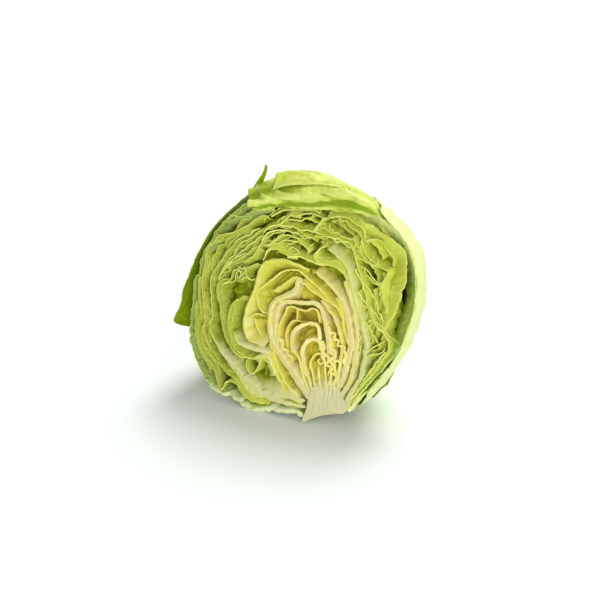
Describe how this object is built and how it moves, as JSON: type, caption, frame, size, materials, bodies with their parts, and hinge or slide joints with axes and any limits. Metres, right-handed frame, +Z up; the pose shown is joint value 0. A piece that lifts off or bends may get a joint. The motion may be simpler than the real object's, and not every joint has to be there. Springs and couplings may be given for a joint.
{
  "type": "halved iceberg lettuce head",
  "caption": "Head of iceberg lettuce cut lengthwise, standing on its underside with the cut face forward: core, packed crinkled leaves, wrapper leaves and a crown leaf",
  "frame": {"origin": "on the floor, inside the flat patch under the head that it stands on", "axes": "+X to the right along the cut face, +Y back into the head, +Z up; the cut face leans back 15 degrees"},
  "size_m": [0.162, 0.1009, 0.1531],
  "materials": {
    "core": "moist satin flesh",
    "head_leaf": "moist satin leaf",
    "heart_leaf": "moist satin leaf",
    "wrapper_leaf": "satin leaf with pale veins",
    "outer_leaf": "satin leaf with pale veins",
    "crown_leaf": "satin crinkled leaf"
  },
  "bodies": {
    "root": {"core": "core", "head_leaf_01": "wrapper_leaf", "head_leaf_02": "head_leaf", "head_leaf_03": "head_leaf", "head_leaf_04": "head_leaf", "head_leaf_05": "head_leaf", "head_leaf_06": "head_leaf", "head_leaf_07": "head_leaf", "head_leaf_08": "head_leaf", "head_leaf_09": "head_leaf", "head_leaf_10": "head_leaf", "head_leaf_11": "head_leaf", "head_leaf_12": "head_leaf", "head_leaf_13": "head_leaf", "head_leaf_14": "head_leaf", "head_leaf_15": "head_leaf", "heart_leaf_1": "heart_leaf", "heart_leaf_2": "heart_leaf", "heart_leaf_3": "heart_leaf", "heart_leaf_4": "heart_leaf", "heart_leaf_5": "heart_leaf", "heart_leaf_6": "heart_leaf", "heart_leaf_7": "heart_leaf", "heart_leaf_8": "heart_leaf", "heart_leaf_9": "heart_leaf", "heart_leaf_10": "heart_leaf", "outer_leaf_right": "wrapper_leaf", "outer_leaf_left": "outer_leaf", "back_leaf": "wrapper_leaf", "crown_leaf": "crown_leaf"}
  },
  "joints": []
}
